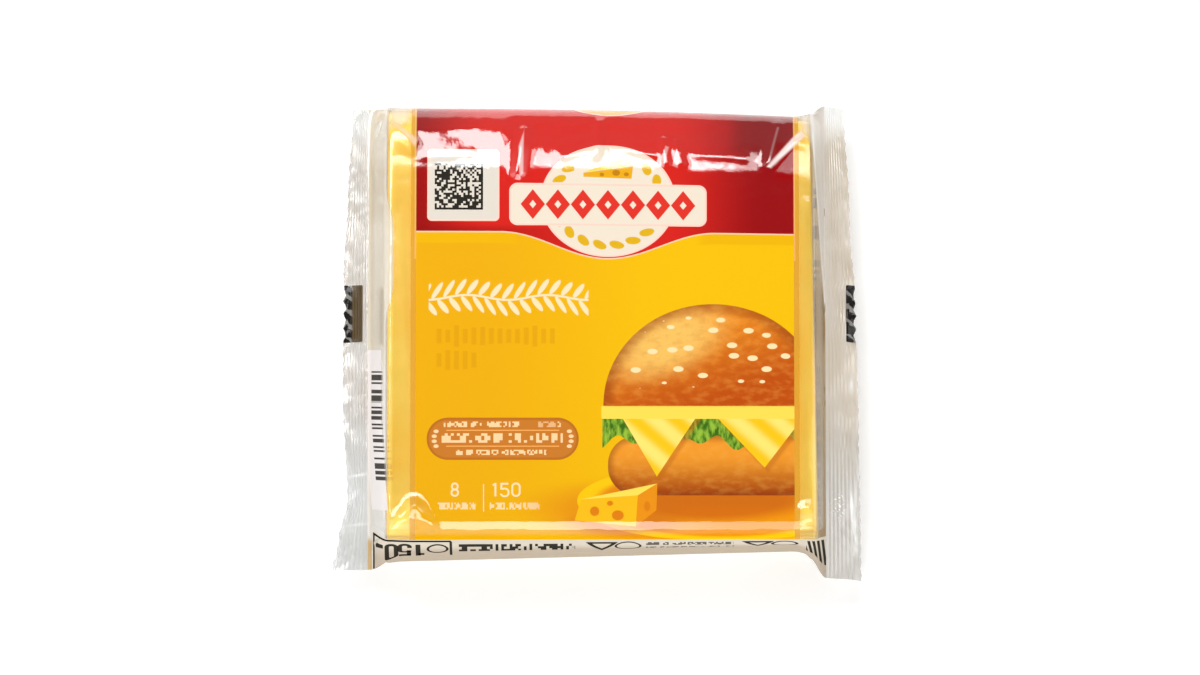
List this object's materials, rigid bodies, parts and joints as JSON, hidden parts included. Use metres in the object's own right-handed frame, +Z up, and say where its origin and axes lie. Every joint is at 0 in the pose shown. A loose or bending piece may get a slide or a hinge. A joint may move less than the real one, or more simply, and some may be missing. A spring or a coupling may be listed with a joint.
{
  "type": "pack of sliced cheese",
  "caption": "Sealed flow-wrapped pack of square cheese slices with crimped saw-cut end seals, a printed front and a folded back fin, lying on its back.",
  "frame": {"origin": "centre of the outer box's footprint, on the surface that the pack's back lies on", "axes": "+Z up out of the printed front, +X along the film tube from the left seal to the right seal, +Y towards the top of the print"},
  "size_m": [0.1036, 0.0952, 0.0226],
  "materials": {
    "printed_film": "glossy printed packaging film, yellow field under a red band",
    "clear_film": "clear wrinkled film",
    "cheese": "smooth, slightly waxy yellow cheese"
  },
  "bodies": {
    "root": {"cheese_pack": "printed_film"}
  },
  "joints": []
}
